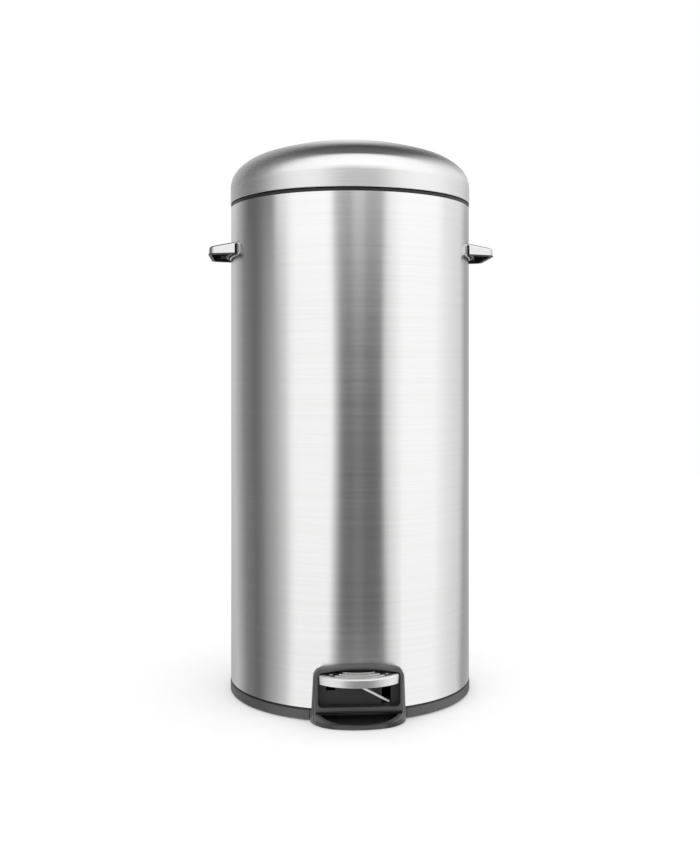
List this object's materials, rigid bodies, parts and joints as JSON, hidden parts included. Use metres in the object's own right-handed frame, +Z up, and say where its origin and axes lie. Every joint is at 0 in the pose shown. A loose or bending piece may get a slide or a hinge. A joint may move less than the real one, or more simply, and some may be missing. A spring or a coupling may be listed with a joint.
{
  "type": "pedal trash can",
  "caption": "Round brushed steel pedal bin with a domed hinged lid, side lug handles, a ribbed toe pedal in a dark surround and a lift-out inner bucket.",
  "frame": {"origin": "on the bin's axis, at the floor", "axes": "+Z up through the domed lid, -Y towards the pedal and the person who uses it, +X to that person's right as they face the pedal"},
  "size_m": [0.3444, 0.3278, 0.6675],
  "materials": {
    "brushed_steel": "vertical-lit brushed stainless steel, satin",
    "satin_steel": "fine satin stainless steel",
    "plated_metal": "satin chrome plated casting",
    "zinc_steel": "zinc plated steel",
    "grey_plastic": "fine-grained dark grey moulding",
    "black_plastic": "matt black moulding",
    "bucket_plastic": "smooth charcoal moulding",
    "white_plastic": "natural acetal",
    "rubber": "soft non-slip rubber",
    "spring_wire": "bright spring wire"
  },
  "bodies": {
    "can": {"body_shell": "brushed_steel", "base_pan": "grey_plastic", "pedal_surround": "grey_plastic", "floor_ring": "rubber", "deck": "black_plastic", "deck_screws": "zinc_steel", "base_screws": "zinc_steel", "rim_ring": "black_plastic", "pedal_axle": "zinc_steel", "axle_clips": "zinc_steel", "rest_pad": "rubber", "rod_bush": "white_plastic", "rod_guide": "zinc_steel", "guide_rivet": "zinc_steel", "rod_channel": "zinc_steel", "hinge_bracket": "black_plastic", "hinge_backplate": "zinc_steel", "hinge_rivets": "zinc_steel", "hinge_pin": "zinc_steel", "hinge_clip": "zinc_steel", "left_handle_hood": "plated_metal", "left_handle_insert": "black_plastic", "left_handle_plate": "plated_metal", "left_handle_gasket": "rubber", "left_handle_backing": "zinc_steel", "left_handle_screws": "zinc_steel", "right_handle_hood": "plated_metal", "right_handle_insert": "black_plastic", "right_handle_plate": "plated_metal", "right_handle_gasket": "rubber", "right_handle_backing": "zinc_steel", "right_handle_screws": "zinc_steel"},
    "pedal": {"pedal_plate": "satin_steel", "pedal_rivets": "zinc_steel", "pedal_lever": "zinc_steel", "lever_bushes": "white_plastic", "lever_roller": "white_plastic", "roller_pin": "zinc_steel", "return_spring": "spring_wire"},
    "push_rod": {"push_rod": "zinc_steel", "rod_foot": "black_plastic", "rod_head": "white_plastic"},
    "lid": {"lid_shell": "brushed_steel", "lid_liner": "black_plastic", "lid_buffers": "rubber", "lid_hinge_arm": "black_plastic", "lid_screws": "zinc_steel", "crank_pin": "zinc_steel"},
    "bucket": {"inner_bucket": "bucket_plastic"},
    "bail": {"bucket_bail": "zinc_steel", "bail_grip": "black_plastic"}
  },
  "joints": [
    {"name": "lid_hinge", "type": "hinge", "parent": "can", "child": "lid", "pos_m": [0, 0.148, 0.599], "axis": [-1, 0, 0], "range_deg": [0, 80]},
    {"name": "pedal_pivot", "type": "hinge", "parent": "can", "child": "pedal", "pos_m": [0, -0.058, 0.03], "axis": [1, 0, 0], "range_deg": [0, 8.68], "deforming": ["return_spring"]},
    {"name": "push_rod_slide", "type": "slide", "parent": "can", "child": "push_rod", "axis": [0, 0, 1], "range_m": [0, 0.0283]},
    {"name": "bucket_lift", "type": "slide", "parent": "can", "child": "bucket", "axis": [0, 0, 1], "range_m": [0, 0.01]},
    {"name": "bail_hinge", "type": "hinge", "parent": "bucket", "child": "bail", "pos_m": [0, 0, 0.566], "axis": [-1, 0, 0], "range_deg": [0, 20]}
  ],
  "couplings": [
    {"joint": "pedal_pivot", "follows": "lid_hinge", "ratio": 0.10836},
    {"joint": "push_rod_slide", "follows": "lid_hinge", "m_per_rad": 0.020256}
  ]
}
